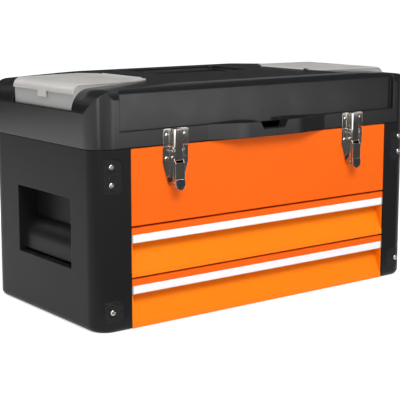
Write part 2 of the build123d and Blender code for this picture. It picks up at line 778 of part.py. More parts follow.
def organiser_cover():
    """Left clear cover: flat sheet, rounded skirt, finger tab and hinge barrel."""
    form = prism_y(cover_section(0), front_y, back_y)
    form -= prism_y(cover_section(cover_thickness), front_y, back_y)
    form -= block(-half_lid - past, 0, front_y, back_y, 0, cover_top - cover_radius)
    cover = form & prism_z(organiser_plan(0), 0, cover_top + past)
    cover += block(-cover_side, -cover_side + cover_thickness - slide_gap,
                   front_y + tab_start, front_y + tab_end, tab_bottom, cover_top - cover_radius)
    for y0, y1 in lug_spans():
        cover -= block(-cover_pin_x - barrel_radius - slide_gap, 0, y0 - slide_gap, y1 + slide_gap,
                       cover_pin_z - barrel_radius - past, cover_top + past)
    (first, _), (_, last) = lug_spans()
    cover -= block(-cover_pin_x, 0, front_y, back_y, cover_pin_z - past, cover_top + past)
    for y0, y1 in ((front_y, first), (last, back_y)):
        cover -= block(-cover_pin_x - cover_relief, 0, y0, y1, cover_pin_z - past, cover_top + past)
    cover += rod((-cover_pin_x, front_y + barrel_start, cover_pin_z),
                 (-cover_pin_x, front_y + barrel_end, cover_pin_z), barrel_radius)
    cover -= rod((-cover_pin_x, front_y, cover_pin_z), (-cover_pin_x, back_y, cover_pin_z),
                 cover_pin_radius + pin_gap)
    return cover


# ---- Carry handle
def handle_pin():
    """Left pivot pin of the carry handle."""
    return rod_x(-handle_pivot_x - handle_pin_length / 2, -handle_pivot_x + handle_pin_length / 2,
                 handle_pivot_y, handle_pivot_z, handle_pin_radius)


def handle_bend(grow, start_y):
    """Handle's middle line seen from above, grown by half an arm, from start_y back to the grip."""
    x = handle_pivot_x + grow
    y = handle_grip_y + grow
    bend = handle_bend_radius + grow
    return outline([(-x, start_y), (x, start_y), (x, y), (-x, y)], [0, 0, bend, bend])


def carry_handle():
    """Folding bail: two arms, two bends and a thicker grip."""
    low = handle_pivot_z - handle_arm_height / 2
    high = handle_pivot_z + handle_arm_height / 2
    frame = prism_z(handle_bend(handle_arm_width / 2, handle_pivot_y), low, high)
    frame -= prism_z(handle_bend(-handle_arm_width / 2, handle_pivot_y - past), low - past, high + past)
    inner_x = handle_pivot_x - handle_arm_width / 2
    outer_x = handle_pivot_x + handle_arm_width / 2
    for side in (-1, 1):
        frame += rod_x(side * inner_x, side * outer_x, handle_pivot_y, handle_pivot_z,
                       handle_eye_radius)
    half = handle_pivot_x - handle_bend_radius
    grip = block(-half, half, handle_grip_y - handle_grip_width / 2, handle_grip_y + handle_grip_width / 2,
                 handle_pivot_z - handle_grip_height / 2, handle_pivot_z + handle_grip_height / 2)
    frame += fillet(grip.edges().filter_by(Axis.X), handle_grip_radius)
    frame -= rod_x(-outer_x - past, outer_x + past, handle_pivot_y, handle_pivot_z,
                   handle_pin_radius + pin_gap)
    return frame


# ---- Lid hinge
def hinge_knuckle_spans():
    """Spans of all knuckles along X, from one end to the other."""
    step = hinge_length / hinge_knuckles
    start = -hinge_length / 2
    return [(start + i * step + hinge_knuckle_gap / 2, start + (i + 1) * step - hinge_knuckle_gap / 2)
            for i in range(hinge_knuckles)]


def hinge_half(first, up):
    """One leaf with every second knuckle; up is 1 for the lid's leaf and -1 for the cabinet's."""
    near = hinge_radius + hinge_leaf_gap
    leaf = block(-hinge_length / 2, hinge_length / 2, back_y, back_y + hinge_leaf,
                 hinge_z + up * near, hinge_z + up * (near + hinge_leaf_height))
    for x0, x1 in hinge_knuckle_spans()[first::2]:
        leaf += rod_x(x0, x1, hinge_y, hinge_z, hinge_radius)
        leaf += block(x0, x1, back_y + slide_gap, back_y + hinge_leaf, hinge_z + up * hinge_radius / 2,
                      hinge_z + up * (near + hinge_leaf))
    leaf -= rod_x(-half_width, half_width, hinge_y, hinge_z, hinge_pin_radius + pin_gap)
    return leaf


def hinge_pin():
    return rod_x(-hinge_length / 2, hinge_length / 2, hinge_y, hinge_z, hinge_pin_radius)


# ---- Latches. Each is drawn round x = 0 and then carried to both latch places.
def latch_rivets():
    """Rivet places of the base plate, as distance from the latch centre and height."""
    return ((-rivet_side, plate_top - base_rivet_drop), (rivet_side, plate_top - base_rivet_drop),
            (0.0, plate_top - foot_rivet_drop))


def rivet(x, z, face_y, rear_y):
    """Rivet clinched between the plate face and the back of the wall."""
    body = rod((x, face_y, z), (x, rear_y, z), rivet_radius)
    head = rod((x, face_y, z), (x, face_y - rivet_head_height, z), rivet_head_radius)
    rim = head.edges().filter_by(lambda e: e.center().Y < face_y - rivet_head_height / 2)
    head = fillet(rim, rivet_head_dome)
    tail = rod((x, rear_y, z), (x, rear_y + rivet_head_height, z), rivet_head_radius)
    return body + head + tail


def latch_base():
    """Base plate with two ears and the padlock staple."""
    half = latch_width / 2
    tip = latch_base_tip / 2
    foot = plate_top - latch_base_length
    knee = plate_top - latch_base_taper
    plate = outline([(-half, plate_top), (half, plate_top), (half, knee),
                     (tip, foot), (-tip, foot), (-half, knee)],
                    [latch_top_radius, latch_top_radius, latch_knee_radius,
                     latch_tip_radius, latch_tip_radius, latch_knee_radius])
    base = prism_y(plate, plate_front_y, panel_y)
    root_y = plate_front_y + latch_plate / 2
    ear_y = panel_y - ear_reach
    ear_top = plate_top - ear_drop
    ear = outline([(root_y, ear_top), (ear_y, ear_top), (ear_y, plate_top - ear_foot),
                   (root_y, plate_top - ear_root)], [0, ear_top_radius, 0, 0])
    inner = lever_width / 2 + slide_gap
    for side in (-1, 1):
        base += prism_x(ear, *sorted((side * inner, side * (inner + ear_thickness))))
    staple_z = plate_top - staple_drop
    low = staple_z - staple_height / 2
    high = staple_z + staple_height / 2
    staple_y = panel_y - staple_reach
    staple = outline([(root_y, low), (root_y, high), (staple_y, high), (staple_y, low)],
                     [0, 0, staple_radius, staple_radius])
    base += prism_x(staple, -ear_thickness / 2, ear_thickness / 2)
    base -= rod_x(-half, half, (plate_front_y + staple_y) / 2, staple_z, staple_hole_radius)
    base -= rod_x(-half, half, lever_pin_y, lever_pin_z, latch_pin_radius)
    for x, z in latch_rivets():
        base -= rod((x, panel_y - past, z), (x, panel_y + past, z), rivet_radius)
    return base


def lever_tip(face_y, z_end):
    """Round-ended tip that leans out from the foot of the lever's face."""
    tip_y = front_y - lever_tip_reach
    z_low = z_end - lever_tip_length
    side = outline([(face_y, z_end), (tip_y, z_low), (tip_y + lever_steel, z_low),
                    (face_y + lever_steel, z_end)])
    half = lever_width / 2
    front = outline([(-half, z_end), (half, z_end), (half, z_low), (-half, z_low)],
                    [0, 0, lever_tip_radius, lever_tip_radius])
    return prism_x(side, -half, half) & prism_y(front, tip_y - past, panel_y)


def latch_lever():
    """Channel-shaped lever: a face, two cheeks cut away at the rear, and a round-ended tip."""
    face_y = panel_y - lever_face
    z_end = lever_pin_z - lever_length
    face_top = hook_pin_z - lever_face_drop
    front_eye = lever_pin_y - lever_eye_radius
    rear_eye = lever_pin_y + lever_eye_radius
    cheek = outline([(front_eye, lever_pin_z), (rear_eye, lever_pin_z),
                     (rear_eye, lever_pin_z - lever_cheek_length), (face_y + lever_steel, z_end),
                     (face_y, z_end), (face_y, face_top), (front_eye, hook_pin_z)])
    half = lever_width / 2
    lever = prism_x(cheek, -half, half)
    lever += rod_x(-half, half, lever_pin_y, lever_pin_z, lever_eye_radius)
    lever -= block(lever_steel - half, half - lever_steel, face_y + lever_steel, panel_y,
                   z_end - past, lever_pin_z + lever_eye_radius + past)
    lever -= block(lever_steel - half, half - lever_steel, face_y - past, panel_y,
                   face_top, lever_pin_z + lever_eye_radius + past)
    lever += lever_tip(face_y, z_end)
    lever -= rod_x(-half - past, half + past, lever_pin_y, lever_pin_z, latch_pin_radius + pin_gap)
    lever -= rod_x(-half - past, half + past, lever_pin_y, hook_pin_z, latch_pin_radius)
    return lever


def latch_hook():
    """Strap from the lever up in front of the keeper, widened into a channel above the lever."""
    neck = hook_neck_width / 2
    half = hook_width / 2
    y_front = lever_pin_y - hook_eye_radius
    y_rear = y_front + hook_flange_depth
    z_top = hook_pin_z + hook_length
    z_flange = hook_pin_z + hook_flange_start
    channel = prism_z(outline([(-half, y_front), (half, y_front), (half, y_rear), (-half, y_rear)],
                              [hook_flange_radius, hook_flange_radius, 0, 0]), z_flange, z_top)
    channel -= block(hook_steel - half, half - hook_steel, y_front + hook_steel, y_rear + past,
                     z_flange - past, z_top + past)
    hook = channel + block(-neck, neck, y_front, y_front + hook_steel, hook_pin_z, z_flange)
    hook += rod_x(-neck, neck, lever_pin_y, hook_pin_z, hook_eye_radius)
    hook -= rod_x(-half - past, half + past, lever_pin_y, hook_pin_z, latch_pin_radius + pin_gap)
    return hook


def lever_pin():
    half = lever_width / 2 + slide_gap + ear_thickness + pin_end
    return rod_x(-half, half, lever_pin_y, lever_pin_z, latch_pin_radius)


def hook_pin():
    half = lever_width / 2
    return rod_x(-half, half, lever_pin_y, hook_pin_z, latch_pin_radius)


def keeper():
    """Plate on the lid ledge with a raised catch."""
    half = latch_width / 2
    top = keeper_foot + keeper_height
    plate = outline([(-half, keeper_foot), (half, keeper_foot), (half, top), (-half, top)],
                    [keeper_foot_radius, keeper_foot_radius, keeper_corner, keeper_corner])
    face_y = front_y - latch_plate
    body = prism_y(plate, face_y, front_y)
    root_y = front_y - latch_plate / 2
    low = keeper_foot + catch_start
    high = low + catch_height
    catch = outline([(root_y, low), (face_y - catch_root, low), (face_y - catch_reach, low + catch_slope),
                     (face_y - catch_reach, high), (root_y, high)],
                    [0, catch_radius, catch_radius, catch_radius, 0])
    body += prism_x(catch, -catch_width / 2, catch_width / 2)
    for x in (-rivet_side, rivet_side):
        body -= rod((x, front_y - past, keeper_rivet_z), (x, front_y + past, keeper_rivet_z), rivet_radius)
    return body


def latch_pair(name, shape):
    """Carry a piece drawn round x = 0 to the left and right latches."""
    save(name + "_left", Pos(-latch_x, 0, 0) * shape)
    save(name + "_right", Pos(latch_x, 0, 0) * shape)


# ---- The whole box
save("cabinet_shell", cabinet_shell())
save("back_panel", back_panel())
save("front_panel", front_panel())
save("compartment_floor", compartment_floor())
save_pair("side_casing", side_casing())
save("casing_screws", casing_screws())

for level, drawer in enumerate(("lower", "upper")):
    foot = drawer_base(level)
    save(drawer + "_drawer_front", drawer_front(foot))
    save(drawer + "_drawer_tray", drawer_tray(foot))
    save(drawer + "_drawer_rail", handle_rail(foot))
    save(drawer + "_rail_caps", rail_caps(foot))
    save_pair(drawer + "_outer_runner", outer_runner(foot))
    save_pair(drawer + "_inner_runner", inner_runner(foot))

save("lid_shell", lid_shell())
save_pair("organiser_tray", organiser_tray())
save_pair("organiser_cover", organiser_cover())
save_pair("cover_pin", cover_pin())
save("carry_handle", carry_handle())
left_pivot = handle_pin()
save("handle_pins", Compound([left_pivot, mirrored(left_pivot)]))
save("cabinet_hinge_leaf", hinge_half(0, -1))
save("lid_hinge_leaf", hinge_half(1, 1))
save("lid_hinge_pin", hinge_pin())

latch_pair("latch_base", latch_base())
latch_pair("latch_lever", latch_lever())
latch_pair("latch_hook", latch_hook())
latch_pair("lever_pin", lever_pin())
latch_pair("hook_pin", hook_pin())
latch_pair("latch_keeper", keeper())
base_rivets = [rivet(x, z, plate_front_y, panel_y + steel) for x, z in latch_rivets()]
keeper_rivets = [rivet(x, keeper_rivet_z, front_y - latch_plate, front_y + plastic)
                 for x in (-rivet_side, rivet_side)]
save("base_rivets", Compound([Pos(x, 0, 0) * r for x in (-latch_x, latch_x) for r in base_rivets]))
save("keeper_rivets", Compound([Pos(x, 0, 0) * r for x in (-latch_x, latch_x) for r in keeper_rivets]))

os.makedirs("parts", exist_ok=True)
for node, shape in parts.items():
    export_step(shape, "parts/" + node + ".step")
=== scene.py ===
import math

import bmesh
import bpy
from mathutils import Euler, Matrix, Vector


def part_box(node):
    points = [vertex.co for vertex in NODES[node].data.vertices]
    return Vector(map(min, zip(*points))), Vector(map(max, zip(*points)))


bl_info = {
    "name": "Portable tool box with drawers",
    "version": (1, 0, 0),
    "blender": (4, 5, 0),
    "location": "View3D > Sidebar > Tool box",
    "description": "Dresses the steel and plastic tool box and sets its studio",
    "category": "Add Mesh",
}

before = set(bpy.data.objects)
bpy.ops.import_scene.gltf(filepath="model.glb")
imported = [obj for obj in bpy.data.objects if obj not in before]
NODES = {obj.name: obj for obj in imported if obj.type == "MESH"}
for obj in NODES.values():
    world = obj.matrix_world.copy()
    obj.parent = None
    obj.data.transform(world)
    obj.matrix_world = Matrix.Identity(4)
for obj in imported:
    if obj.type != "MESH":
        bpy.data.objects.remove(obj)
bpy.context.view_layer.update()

MM = 0.001
FRONT_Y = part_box("side_casing_left")[0].y
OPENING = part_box("side_casing_right")[0].x
PAD_EDGE = 11.5 * MM                              # pads start this far from the opening
PAD_FACE = (0.5 * MM, 4.0 * MM)                   # pad faces lie this far behind the casings' front
PAD_ROWS = ((13.2 * MM, 39.8 * MM), (170.2 * MM, 210.8 * MM))     # foot and top of each pad
MOULDING_IOR = 1.49
DUST_GREY = (0.30, 0.29, 0.27)
COAT_DUST = (0.60, 0.45, 0.32)
CARD_WHITE = (0.8, 0.8, 0.8)
FLOOR_HALF = 30.0
FLOOR_GLOW = 0.62

# Lamps: name, place, width, height, power in watts. Each looks at the middle of the box.
LAMP_AIM = (0.0, 0.0, 0.15)
LAMPS = (
    ("key lamp", (-0.3, -1.9, 2.1), 1.8, 1.2, 58.0),
    ("back lamp", (-1.6, 2.2, 2.1), 1.4, 1.0, 26.0),
)

# Cards that only show in reflections: name, two opposite corners, colour, glow.
CARDS = (
    ("dark floor card", (-1.5, -1.72, 0.004), (2.4, -0.16, 0.004), (0.02, 0.018, 0.016), 0.0),
    ("bright floor card", (0.3, -3.8, 0.006), (2.0, -1.78, 0.006), CARD_WHITE, 4.0),
    ("bright side card", (-2.3, -2.0, 0.0), (-2.3, -1.6, 1.5), CARD_WHITE, 8.0),
    ("right flag", (2.5, -6.0, 0.0), (2.5, -0.5, 3.6), (0.028, 0.033, 0.042), 0.0),
    ("back flag", (-6.0, 1.9, 0.0), (6.0, 1.9, 3.2), (0.03, 0.03, 0.032), 0.0),
)


# ---- Settings
class PaintSettings(bpy.types.PropertyGroup):
    orange: bpy.props.FloatVectorProperty(
        name="Cabinet orange", description="Powder coat of the steel fronts and trays",
        subtype="COLOR", size=3, min=0.0, max=1.0, default=(0.87, 0.129, 0.0045))
    # Painted light: a lighter orange painted on the drawer fronts below their rails, in place of the light
    # their sloped faces catch.
    painted_light_orange: bpy.props.FloatVectorProperty(
        name="Drawer amber", description="Painted lighter orange of the drawer fronts below the top of their rails",
        subtype="COLOR", size=3, min=0.0, max=1.0, default=(0.94, 0.218, 0.0060))
    peel_depth: bpy.props.FloatProperty(
        name="Peel depth", description="Height of the orange peel in the powder coat",
        default=0.00003, min=0.0, unit="LENGTH")


class PlasticSettings(bpy.types.PropertyGroup):
    black: bpy.props.FloatVectorProperty(
        name="Moulded black", description="Casings, lid and carry handle",
        subtype="COLOR", size=3, min=0.0, max=1.0, default=(0.0118, 0.0121, 0.0130))
    grain_size: bpy.props.FloatProperty(
        name="Grain size", description="Size of the moulded grain",
        default=0.0007, min=0.0001, unit="LENGTH")
    rail_white: bpy.props.FloatVectorProperty(
        name="Rail white", description="Pull rails of the drawers",
        subtype="COLOR", size=3, min=0.0, max=1.0, default=(0.86, 0.88, 0.90))
    # Painted shade: the end caps are given a grey that stands in for the shade at the rails' ends.
    cap_grey: bpy.props.FloatVectorProperty(
        name="Cap painted shade", description="End caps of the pull rails",
        subtype="COLOR", size=3, min=0.0, max=1.0, default=(0.36, 0.36, 0.36))
    cover_haze: bpy.props.FloatVectorProperty(
        name="Cover haze", description="Clouded clear covers of the organisers",
        subtype="COLOR", size=3, min=0.0, max=1.0, default=(0.63, 0.61, 0.59))
    bin_grey: bpy.props.FloatVectorProperty(
        name="Bin grey", description="Bins of the organisers",
        subtype="COLOR", size=3, min=0.0, max=1.0, default=(0.38, 0.38, 0.37))


class MetalSettings(bpy.types.PropertyGroup):
    chrome: bpy.props.FloatVectorProperty(
        name="Latch chrome", description="Latches, rivets and casing screws",
        subtype="COLOR", size=3, min=0.0, max=1.0, default=(0.80, 0.77, 0.73))
    zinc: bpy.props.FloatVectorProperty(
        name="Zinc", description="Hinge, runners and pins",
        subtype="COLOR", size=3, min=0.0, max=1.0, default=(0.56, 0.57, 0.58))


class StudioSettings(bpy.types.PropertyGroup):
    floor: bpy.props.FloatVectorProperty(
        name="Floor", description="Pale floor and backdrop",
        subtype="COLOR", size=3, min=0.0, max=1.0, default=(0.92, 0.92, 0.92))
    ambient: bpy.props.FloatProperty(
        name="Ambient light", description="Strength of the even light from all round", default=0.44, min=0.0)
    lamps: bpy.props.FloatProperty(
        name="Lamps", description="Brightness of both lamps, as a share of the usual", default=1.0, min=0.0)
    eye: bpy.props.FloatVectorProperty(
        name="Camera place", description="Where the camera stands", subtype="TRANSLATION", unit="LENGTH",
        size=3, default=(-0.9763, -1.2696, 0.4118))
    turn: bpy.props.FloatProperty(
        name="Camera turn", description="Camera's heading from straight ahead", subtype="ANGLE",
        default=math.radians(37.156))
    dip: bpy.props.FloatProperty(
        name="Camera dip", description="How far the camera looks down", subtype="ANGLE",
        default=math.radians(9.216))
    lens: bpy.props.FloatProperty(
        name="Lens", description="Focal length in millimetres", default=105.29, min=1.0)
    rise: bpy.props.FloatProperty(
        name="Lens rise", description="Upright shift of the lens, as a share of the picture", default=-0.06)


SETTINGS = (
    ("tool_box_paint", PaintSettings),
    ("tool_box_plastic", PlasticSettings),
    ("tool_box_metal", MetalSettings),
    ("tool_box_studio", StudioSettings),
)


# ---- Shader helpers
def add(tree, kind, **values):
    """New node; each value is set on the socket of that name, or else on the node itself."""
    node = tree.nodes.new(kind)
    for key, value in values.items():
        socket = node.inputs.get(key.replace("_", " "))
        if socket is not None:
            socket.default_value = value
        else:
            setattr(node, key, value)
    return node


def join(tree, start, end):
    tree.links.new(start, end)


def math_node(tree, operation, first, second=None):
    """Maths on sockets or plain numbers."""
    node = tree.nodes.new("ShaderNodeMath")
    node.operation = operation
    for index, value in enumerate((first, second)):
        if value is None:
            continue
        if isinstance(value, (int, float)):
            node.inputs[index].default_value = value
        else:
            tree.links.new(value, node.inputs[index])
    return node.outputs[0]


def span(tree, value, low, high, to_low=0.0, to_high=1.0):
    """Carry a value from one span to another, held at both ends."""
    node = tree.nodes.new("ShaderNodeMapRange")
    node.clamp = True
    tree.links.new(value, node.inputs["Value"])
    node.inputs["From Min"].default_value = low
    node.inputs["From Max"].default_value = high
    node.inputs["To Min"].default_value = to_low
    node.inputs["To Max"].default_value = to_high
    return node.outputs["Result"]


def blend_colour(tree, mask, first, second):
    """Mix of two colours, each a socket or a plain colour."""
    node = tree.nodes.new("ShaderNodeMix")
    node.data_type = "RGBA"
    tree.links.new(mask, node.inputs["Factor"])
    for name, value in (("A", first), ("B", second)):
        socket = [s for s in node.inputs if s.name == name and s.type == "RGBA"][0]
        if isinstance(value, bpy.types.NodeSocket):
            tree.links.new(value, socket)
        else:
            socket.default_value = (*value, 1.0)
    return [s for s in node.outputs if s.type == "RGBA"][0]


def new_group(name, inputs, outputs):
    """Empty shader group with float inputs and named outputs."""
    group = bpy.data.node_groups.new(name, "ShaderNodeTree")
    for label, default in inputs:
        socket = group.interface.new_socket(label, in_out="INPUT", socket_type="NodeSocketFloat")
        socket.default_value = default
    for label, kind in outputs:
        group.interface.new_socket(label, in_out="OUTPUT", socket_type=kind)
    start = group.nodes.new("NodeGroupInput")
    end = group.nodes.new("NodeGroupOutput")
    return group, start, end


def place(tree, group, **values):
    node = tree.nodes.new("ShaderNodeGroup")
    node.node_tree = group
    for key, value in values.items():
        node.inputs[key.replace("_", " ")].default_value = value
    return node


def new_finish(name):
    """Material with a Principled shader."""
    material = bpy.data.materials.new(name)
    material.use_nodes = True
    tree = material.node_tree
    shader = tree.nodes["Principled BSDF"]
    return material, tree, shader


# ---- Shared effects
def rounded_edges():
    """Normal that rounds sharp edges, and a mask of where hands and benches rub them."""
    name = "rounded edges"
    if name in bpy.data.node_groups:
        return bpy.data.node_groups[name]
    group, start, end = new_group(
        name, [("Radius", 0.0008), ("Breakup", 90.0)],
        [("Normal", "NodeSocketVector"), ("Edge", "NodeSocketFloat")])
    bevel = add(group, "ShaderNodeBevel", samples=6)
    join(group, start.outputs["Radius"], bevel.inputs["Radius"])
    face = add(group, "ShaderNodeNewGeometry")
    dot = add(group, "ShaderNodeVectorMath", operation="DOT_PRODUCT")
    join(group, bevel.outputs["Normal"], dot.inputs[0])
    join(group, face.outputs["True Normal"], dot.inputs[1])
    edge = span(group, dot.outputs["Value"], 0.995, 0.86)
    place_on = add(group, "ShaderNodeTexCoord")
    noise = add(group, "ShaderNodeTexNoise", Detail=4.0, Roughness=0.6)
    join(group, place_on.outputs["Object"], noise.inputs["Vector"])
    join(group, start.outputs["Breakup"], noise.inputs["Scale"])
    rubbed = span(group, noise.outputs["Fac"], 0.38, 0.66)
    join(group, bevel.outputs["Normal"], end.inputs["Normal"])
    join(group, math_node(group, "MULTIPLY", edge, rubbed), end.inputs["Edge"])
    return group


def moulded_grain():
    """Fine pebbled grain of a moulding, as a height, with broad patches of tone."""
    name = "moulded grain"
    if name in bpy.data.node_groups:
        return bpy.data.node_groups[name]
    group, start, end = new_group(
        name, [("Size", 0.0007)], [("Height", "NodeSocketFloat"), ("Patches", "NodeSocketFloat")])
    place_on = add(group, "ShaderNodeTexCoord")
    scale = math_node(group, "DIVIDE", 1.0, start.outputs["Size"])
    pebble = add(group, "ShaderNodeTexVoronoi", feature="SMOOTH_F1", Randomness=1.0, Smoothness=0.6)
    fine = add(group, "ShaderNodeTexNoise", Detail=3.0, Roughness=0.55)
    broad = add(group, "ShaderNodeTexNoise", Scale=7.0, Detail=5.0, Roughness=0.6)
    for node in (pebble, fine, broad):
        join(group, place_on.outputs["Object"], node.inputs["Vector"])
    join(group, scale, pebble.inputs["Scale"])
    join(group, scale, fine.inputs["Scale"])
    height = math_node(group, "ADD", pebble.outputs["Distance"], fine.outputs["Fac"])
    join(group, height, end.inputs["Height"])
    join(group, span(group, broad.outputs["Fac"], 0.3, 0.7), end.inputs["Patches"])
    return group


def settled_dust():
    """Mask of dust on faces that look up, and of smudges that change the gloss."""
    name = "settled dust"
    if name in bpy.data.node_groups:
        return bpy.data.node_groups[name]
    group, start, end = new_group(
        name, [("Scale", 35.0)], [("Dust", "NodeSocketFloat"), ("Smudge", "NodeSocketFloat")])
    place_on = add(group, "ShaderNodeTexCoord")
    face = add(group, "ShaderNodeNewGeometry")
    parts = add(group, "ShaderNodeSeparateXYZ")
    join(group, face.outputs["Normal"], parts.inputs["Vector"])
    up = span(group, parts.outputs["Z"], 0.55, 1.0)
    noise = add(group, "ShaderNodeTexNoise", Detail=6.0, Roughness=0.65)
    smear = add(group, "ShaderNodeTexNoise", Detail=3.0, Roughness=0.5, Distortion=0.6)
    for node in (noise, smear):
        join(group, place_on.outputs["Object"], node.inputs["Vector"])
        join(group, start.outputs["Scale"], node.inputs["Scale"])
    speck = span(group, noise.outputs["Fac"], 0.42, 0.75)
    join(group, math_node(group, "MULTIPLY", up, speck), end.inputs["Dust"])
    join(group, span(group, smear.outputs["Fac"], 0.35, 0.7), end.inputs["Smudge"])
    return group


# ---- Finishes
def moulded_plastic(name, colour, size, roughness, grain_depth, gloss, pads=False):
    """Grained moulded plastic with rubbed edges and light dust; on the pads, paler stipple dots as painted
    highlights on their tops.
    """
    material, tree, shader = new_finish(name)
    edges = place(tree, rounded_edges(), Radius=0.0012)
    grain = place(tree, moulded_grain(), Size=size)
    dust = place(tree, settled_dust())
    worn = tuple(min(1.0, c * 2.2) for c in colour)
    patch = tuple(min(1.0, c * 1.1) for c in colour)
    tone = blend_colour(tree, grain.outputs["Patches"], colour, patch)
    rubbed = blend_colour(tree, math_node(tree, "MULTIPLY", edges.outputs["Edge"], 0.6), tone, worn)
    dusty = blend_colour(tree, math_node(tree, "MULTIPLY", dust.outputs["Dust"], 0.05), rubbed, DUST_GREY)
    rough = math_node(tree, "ADD", math_node(tree, "MULTIPLY", dust.outputs["Smudge"], -0.03), roughness)
    height = grain.outputs["Height"]
    if pads:
        mask = pad_mask(tree)
        stipple = add(tree, "ShaderNodeTexVoronoi", feature="F1", Scale=640.0, Randomness=1.0)
        place_on = add(tree, "ShaderNodeTexCoord")
        join(tree, place_on.outputs["Object"], stipple.inputs["Vector"])
        raised = span(tree, stipple.outputs["Distance"], 0.15, 0.55, 1.0, 0.0)
        dots = math_node(tree, "MULTIPLY", raised, mask)
        # Painted highlight: the tops of the raised stipple dots are painted paler, in place of the glints
        # they catch.
        pale = tuple(c * 3.5 for c in colour)
        height = math_node(tree, "ADD", height, math_node(tree, "MULTIPLY", dots, 5.0))
        rough = math_node(tree, "ADD", rough, math_node(tree, "MULTIPLY", mask, 0.16))
        dusty = blend_colour(tree, math_node(tree, "MULTIPLY", dots, 0.8), dusty, pale)
    join(tree, dusty, shader.inputs["Base Color"])
    join(tree, rough, shader.inputs["Roughness"])
    bump = add(tree, "ShaderNodeBump", Strength=1.0, Distance=grain_depth)
    join(tree, height, bump.inputs["Height"])
    join(tree, edges.outputs["Normal"], bump.inputs["Normal"])
    join(tree, bump.outputs["Normal"], shader.inputs["Normal"])
    shader.inputs["IOR"].default_value = MOULDING_IOR
    shader.inputs["Specular IOR Level"].default_value = gloss
    return material


def pad_mask(tree):
    """The grained pads round the front screws of both casings."""
    place_on = add(tree, "ShaderNodeTexCoord")
    parts = add(tree, "ShaderNodeSeparateXYZ")
    join(tree, place_on.outputs["Object"], parts.inputs["Vector"])
    side = math_node(tree, "ABSOLUTE", parts.outputs["X"])
    across = math_node(tree, "GREATER_THAN", side, OPENING + PAD_EDGE)
    deep = math_node(tree, "LESS_THAN", parts.outputs["Y"], FRONT_Y + PAD_FACE[1])
    set_in = math_node(tree, "GREATER_THAN", parts.outputs["Y"], FRONT_Y + PAD_FACE[0])
    rows = []
    for low, high in PAD_ROWS:
        above = math_node(tree, "GREATER_THAN", parts.outputs["Z"], low)
        below = math_node(tree, "LESS_THAN", parts.outputs["Z"], high)
        rows.append(math_node(tree, "MULTIPLY", above, below))
    row = math_node(tree, "MAXIMUM", rows[0], rows[1])
    face = math_node(tree, "MULTIPLY", deep, set_in)
    return math_node(tree, "MULTIPLY", math_node(tree, "MULTIPLY", across, face), row)


def powder_coat(name, colour, depth, painted_light_colour=None):
    """Semi-gloss powder coat with a faint orange peel; drawer fronts get a painted lighter orange below
    their strips, standing in for the light on their sloped faces.
    """
    material, tree, shader = new_finish(name)
    edges = place(tree, rounded_edges(), Radius=0.0009)
    grain = place(tree, moulded_grain(), Size=0.0022)
    dust = place(tree, settled_dust(), Scale=22.0)
    deep = (colour[0] * 0.96, colour[1] * 0.93, colour[2] * 0.8)
    tone = blend_colour(tree, grain.outputs["Patches"], colour, deep)
    if painted_light_colour is not None:
        # Painted light: the sloped drawer faces below the rails get a lighter orange in place of the light
        # they catch.
        tone = blend_colour(tree, painted_slope_light_mask(tree), tone, painted_light_colour)
    pale = (min(1.0, colour[0] * 1.03), colour[1] * 1.35, colour[2] * 2.5)
    rubbed = blend_colour(tree, math_node(tree, "MULTIPLY", edges.outputs["Edge"], 0.45), tone, pale)
    dusty = blend_colour(tree, math_node(tree, "MULTIPLY", dust.outputs["Dust"], 0.08), rubbed, COAT_DUST)
    join(tree, dusty, shader.inputs["Base Color"])
    shader.inputs["Specular IOR Level"].default_value = 0.10
    rough = math_node(tree, "ADD", math_node(tree, "MULTIPLY", dust.outputs["Smudge"], 0.08), 0.30)
    join(tree, rough, shader.inputs["Roughness"])
    bump = add(tree, "ShaderNodeBump", Strength=0.6, Distance=depth)
    join(tree, grain.outputs["Height"], bump.inputs["Height"])
    join(tree, edges.outputs["Normal"], bump.inputs["Normal"])
    join(tree, bump.outputs["Normal"], shader.inputs["Normal"])
    return material


def painted_slope_light_mask(tree):
    """Mask of the drawer fronts from their foot to the top of their rails, where a lighter orange is painted
    in as the light on their sloped faces.
    """
    place_on = add(tree, "ShaderNodeTexCoord")
    parts = add(tree, "ShaderNodeSeparateXYZ")
    join(tree, place_on.outputs["Object"], parts.inputs["Vector"])
    rows = []
    for level in ("lower", "upper"):
        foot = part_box(level + "_drawer_front")[0].z
        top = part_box(level + "_drawer_rail")[1].z
        above = math_node(tree, "GREATER_THAN", parts.outputs["Z"], foot - 0.5 * MM)
        below = math_node(tree, "LESS_THAN", parts.outputs["Z"], top)
        rows.append(math_node(tree, "MULTIPLY", above, below))
    return math_node(tree, "MAXIMUM", rows[0], rows[1])


def glossy_plastic(name, colour, roughness, transmission=0.0, haze=0.08):
    """Smooth plastic with handling marks; a little transmission makes it look clouded."""
    material, tree, shader = new_finish(name)
    edges = place(tree, rounded_edges(), Radius=0.0007)
    grain = place(tree, moulded_grain(), Size=0.0035)
    dust = place(tree, settled_dust(), Scale=28.0)
    milky = tuple(min(1.0, c * (1.0 + haze)) for c in colour)
    tone = blend_colour(tree, grain.outputs["Patches"], colour, milky)
    light = tuple(min(1.0, c * 1.15) for c in colour)
    rubbed = blend_colour(tree, math_node(tree, "MULTIPLY", edges.outputs["Edge"], 0.5), tone, light)
    join(tree, rubbed, shader.inputs["Base Color"])
    rough = math_node(tree, "ADD", math_node(tree, "MULTIPLY", dust.outputs["Smudge"], 0.14), roughness)
    join(tree, rough, shader.inputs["Roughness"])
    bump = add(tree, "ShaderNodeBump", Strength=0.35, Distance=0.00001)
    join(tree, grain.outputs["Height"], bump.inputs["Height"])
    join(tree, edges.outputs["Normal"], bump.inputs["Normal"])
    join(tree, bump.outputs["Normal"], shader.inputs["Normal"])
    shader.inputs["Transmission Weight"].default_value = transmission
    shader.inputs["IOR"].default_value = MOULDING_IOR
    return material


